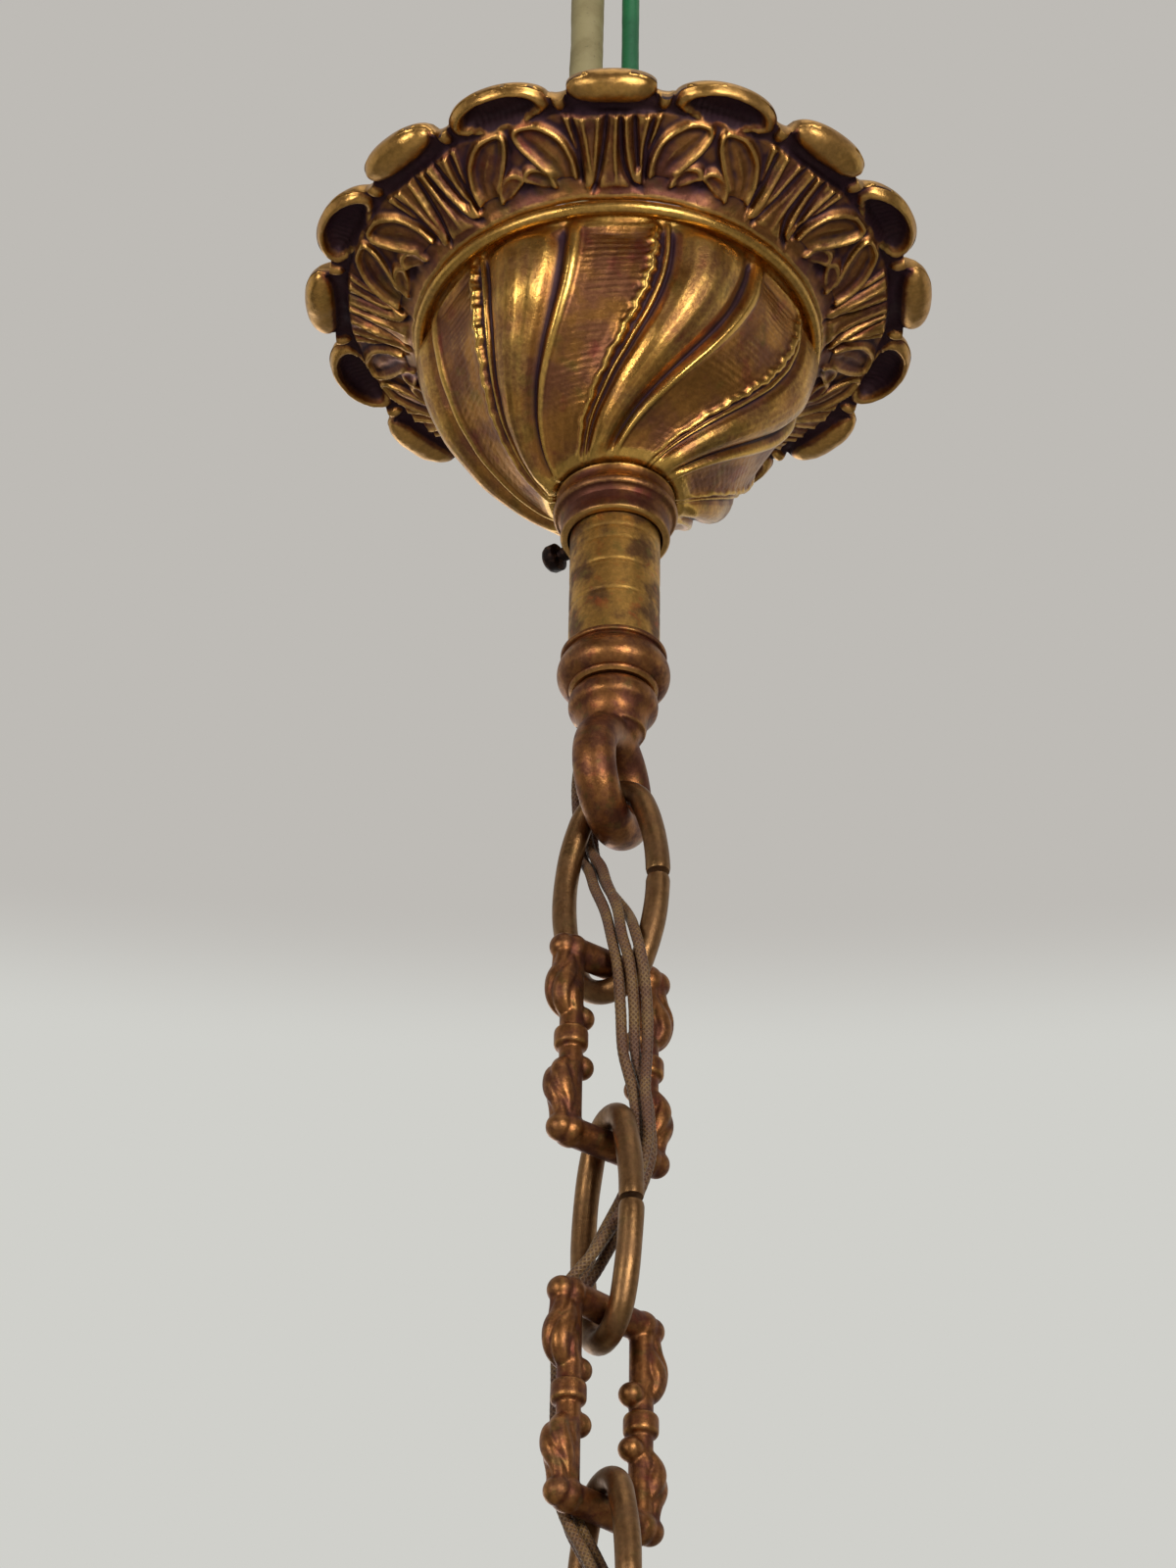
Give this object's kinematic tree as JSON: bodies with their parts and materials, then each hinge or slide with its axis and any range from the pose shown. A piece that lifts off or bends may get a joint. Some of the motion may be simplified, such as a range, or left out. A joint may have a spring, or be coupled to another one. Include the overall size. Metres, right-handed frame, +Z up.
{
  "type": "chandelier suspension set",
  "caption": "Ribbed bronze canopy on a brass stem with a thick eye and a chain of plain and cast links, wired with cloth flexes.",
  "frame": {"origin": "inside top of the ceiling ring, where the ceiling hook carries it", "axes": "+Z up along the stem, -Y towards the front of the canopy, +X to the right"},
  "size_m": [0.1188, 0.1188, 0.446],
  "materials": {
    "gilt_bronze": "old gilding, worn bright on the high places and brown in the hollows",
    "worn_brass": "patchy, dull and worn",
    "link_bronze": "drawn wire, brown patina",
    "black_steel": "blackened",
    "plain_brass": "machined",
    "cloth_flex": "brown and gold braided cloth",
    "cream_sheath": "aged cream",
    "green_sheath": "satin green",
    "porcelain": "glazed"
  },
  "bodies": {
    "stem": {"ceiling_ring": "gilt_bronze", "head_coupling": "worn_brass", "stem_tube": "worn_brass", "lower_coupling": "gilt_bronze", "suspension_eye": "gilt_bronze", "canopy_block_body": "porcelain", "canopy_block_clamp_1": "plain_brass", "canopy_block_clamp_2": "plain_brass", "canopy_block_clamp_3": "plain_brass", "canopy_block_screw_1a": "plain_brass", "canopy_block_screw_1b": "plain_brass", "canopy_block_screw_2a": "plain_brass", "canopy_block_screw_2b": "plain_brass", "canopy_block_screw_3a": "plain_brass", "canopy_block_screw_3b": "plain_brass", "flex_wire_1": "cloth_flex", "flex_wire_2": "cloth_flex", "flex_wire_3": "cloth_flex", "supply_cable": "cream_sheath", "earth_wire": "green_sheath", "ceiling_outlet": "porcelain"},
    "canopy": {"canopy_flange": "gilt_bronze", "canopy_rim_ring": "gilt_bronze", "canopy_dome": "gilt_bronze", "canopy_collar": "gilt_bronze"},
    "set_screw": {"set_screw": "black_steel"},
    "link_1": {"plain_link_1": "link_bronze"},
    "link_2": {"cast_link_2": "gilt_bronze"},
    "link_3": {"plain_link_3": "link_bronze"},
    "link_4": {"cast_link_4": "gilt_bronze"},
    "link_5": {"plain_link_5": "link_bronze", "lower_block_body": "porcelain", "lower_block_clamp_1": "plain_brass", "lower_block_clamp_2": "plain_brass", "lower_block_clamp_3": "plain_brass", "lower_block_screw_1a": "plain_brass", "lower_block_screw_1b": "plain_brass", "lower_block_screw_2a": "plain_brass", "lower_block_screw_2b": "plain_brass", "lower_block_screw_3a": "plain_brass", "lower_block_screw_3b": "plain_brass"}
  },
  "joints": [
    {"name": "canopy_slide", "type": "slide", "parent": "stem", "child": "canopy", "axis": [0, 0, 1], "range_m": [-0.026, 0.03]},
    {"name": "set_screw_turn", "type": "hinge", "parent": "canopy", "child": "set_screw", "pos_m": [-0.00696, 0.00487, -0.0786], "axis": [-0.8192, 0.5736, 0], "range_deg": [0, 360]},
    {"name": "link_1_swing", "type": "hinge", "parent": "stem", "child": "link_1", "pos_m": [0, 0, -0.1441], "axis": [0.3746, 0.9272, 0], "range_deg": [-30, 30], "deforming": ["flex_wire_1", "flex_wire_2", "flex_wire_3"]},
    {"name": "link_2_swing", "type": "hinge", "parent": "link_1", "child": "link_2", "pos_m": [0, 0, -0.17935], "axis": [0.848, -0.5299, 0], "range_deg": [-30, 30]},
    {"name": "link_3_swing", "type": "hinge", "parent": "link_2", "child": "link_3", "pos_m": [0, 0, -0.2103], "axis": [0.8192, 0.5736, 0], "range_deg": [-30, 30]},
    {"name": "link_4_swing", "type": "hinge", "parent": "link_3", "child": "link_4", "pos_m": [0, 0, -0.24655], "axis": [0.4067, -0.9135, 0], "range_deg": [-30, 30]},
    {"name": "link_5_swing", "type": "hinge", "parent": "link_4", "child": "link_5", "pos_m": [0, 0, -0.2775], "axis": [0.7431, 0.6691, 0], "range_deg": [-30, 30]}
  ]
}
